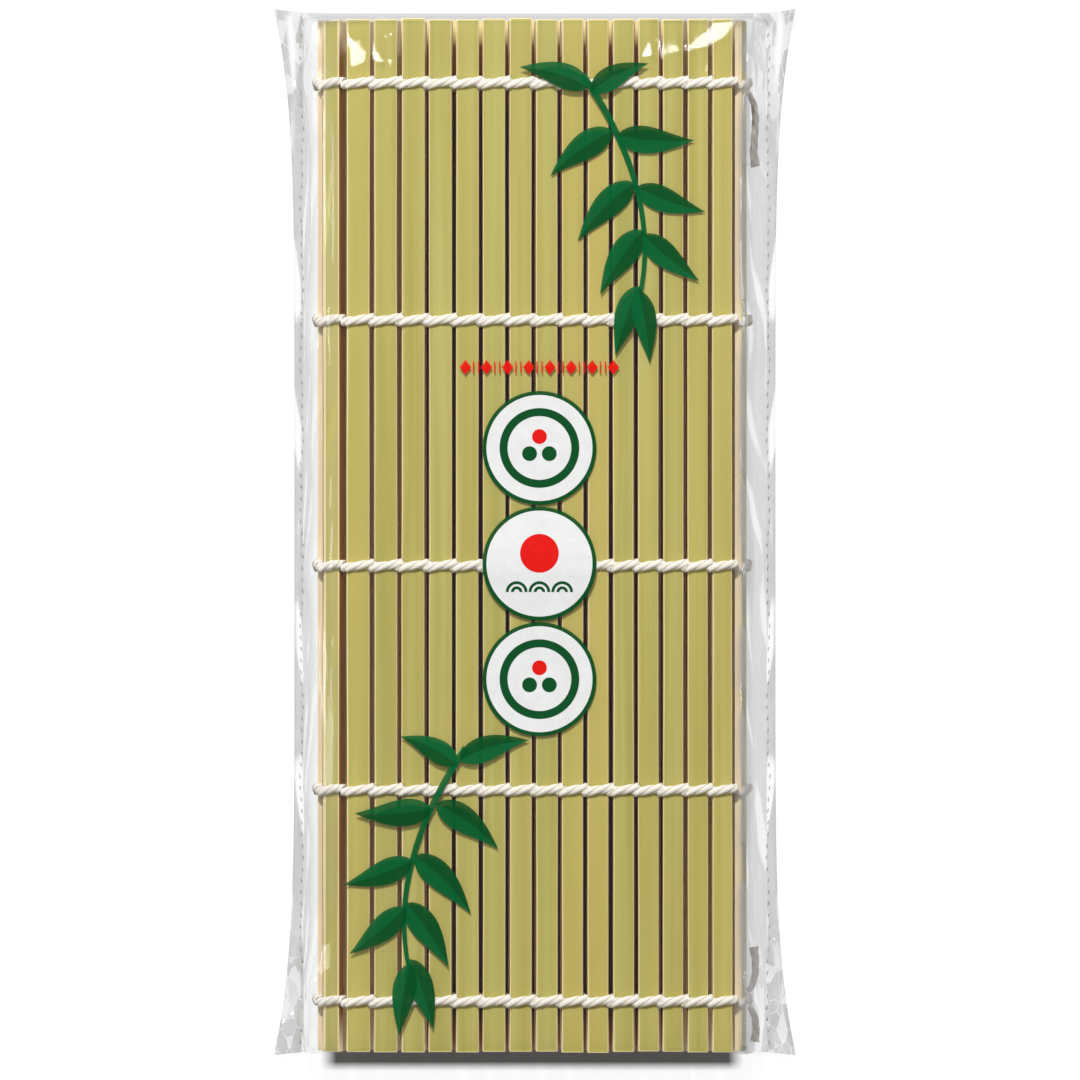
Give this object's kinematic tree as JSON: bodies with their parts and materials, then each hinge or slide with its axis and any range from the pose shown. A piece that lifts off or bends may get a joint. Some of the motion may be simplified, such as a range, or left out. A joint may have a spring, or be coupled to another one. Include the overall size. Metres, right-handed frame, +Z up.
{
  "type": "sushi rolling mat",
  "caption": "Flat bamboo slat rolling mat twined with white cotton cords, folded into a flat pack inside a clear film bag.",
  "frame": {"origin": "under the middle of the bag, on the table it lies on", "axes": "+Z up out of the front of the pack, +Y along the slats to the bag's sealed top, +X to the right of the front"},
  "size_m": [0.1218, 0.244, 0.0161],
  "materials": {
    "bamboo": "satin",
    "cotton_cord": "matte",
    "bag_film": "gloss"
  },
  "bodies": {
    "back_panel": {"slat_25": "bamboo", "slat_26": "bamboo", "slat_27": "bamboo", "slat_28": "bamboo", "slat_29": "bamboo", "slat_30": "bamboo", "slat_31": "bamboo", "slat_32": "bamboo", "slat_33": "bamboo", "slat_34": "bamboo", "slat_35": "bamboo", "slat_36": "bamboo", "slat_37": "bamboo", "slat_38": "bamboo", "slat_39": "bamboo", "slat_40": "bamboo", "back_cord_1": "cotton_cord", "back_cord_2": "cotton_cord", "back_cord_3": "cotton_cord", "back_cord_4": "cotton_cord", "back_cord_5": "cotton_cord", "outer_knots": "cotton_cord"},
    "left_edge": {"slat_24": "bamboo", "left_edge_cords": "cotton_cord"},
    "left_shoulder": {"slat_23": "bamboo", "left_shoulder_cords": "cotton_cord"},
    "front_panel": {"slat_08": "bamboo", "slat_09": "bamboo", "slat_10": "bamboo", "slat_11": "bamboo", "slat_12": "bamboo", "slat_13": "bamboo", "slat_14": "bamboo", "slat_15": "bamboo", "slat_16": "bamboo", "slat_17": "bamboo", "slat_18": "bamboo", "slat_19": "bamboo", "slat_20": "bamboo", "slat_21": "bamboo", "slat_22": "bamboo", "front_cord_1": "cotton_cord", "front_cord_2": "cotton_cord", "front_cord_3": "cotton_cord", "front_cord_4": "cotton_cord", "front_cord_5": "cotton_cord"},
    "right_edge": {"slat_07": "bamboo", "right_edge_cords": "cotton_cord"},
    "inner_flap": {"slat_01": "bamboo", "slat_02": "bamboo", "slat_03": "bamboo", "slat_04": "bamboo", "slat_05": "bamboo", "slat_06": "bamboo", "flap_cords": "cotton_cord", "inner_knots": "cotton_cord"},
    "bag": {"bag_front_film": "bag_film", "bag_back_film": "bag_film"}
  },
  "joints": [
    {"name": "left_edge_fold", "type": "hinge", "parent": "back_panel", "child": "left_edge", "pos_m": [-0.04885, -0.0008, 0.00315], "axis": [0, -1, 0], "range_deg": [0, 90], "deforming": ["bag_front_film"]},
    {"name": "left_shoulder_fold", "type": "hinge", "parent": "left_edge", "child": "left_shoulder", "pos_m": [-0.04885, -0.0008, 0.00918], "axis": [0, -1, 0], "range_deg": [0, 51]},
    {"name": "front_fold", "type": "hinge", "parent": "left_shoulder", "child": "front_panel", "pos_m": [-0.04416, -0.0008, 0.01297], "axis": [0, -1, 0], "range_deg": [0, 39]},
    {"name": "right_edge_fold", "type": "hinge", "parent": "front_panel", "child": "right_edge", "pos_m": [0.04629, -0.0008, 0.01297], "axis": [0, -1, 0], "range_deg": [0, 75]},
    {"name": "flap_fold", "type": "hinge", "parent": "right_edge", "child": "inner_flap", "pos_m": [0.04785, -0.0008, 0.00715], "axis": [0, -1, 0], "range_deg": [0, 105]},
    {"name": "bag_slide", "type": "slide", "parent": "back_panel", "child": "bag", "axis": [0, 1, 0], "range_m": [0, 0.26]}
  ],
  "couplings": [
    {"joint": "left_shoulder_fold", "follows": "left_edge_fold", "ratio": 0.56667},
    {"joint": "front_fold", "follows": "left_edge_fold", "ratio": 0.43333},
    {"joint": "right_edge_fold", "follows": "left_edge_fold", "ratio": 0.83333},
    {"joint": "flap_fold", "follows": "left_edge_fold", "ratio": 1.1667}
  ]
}
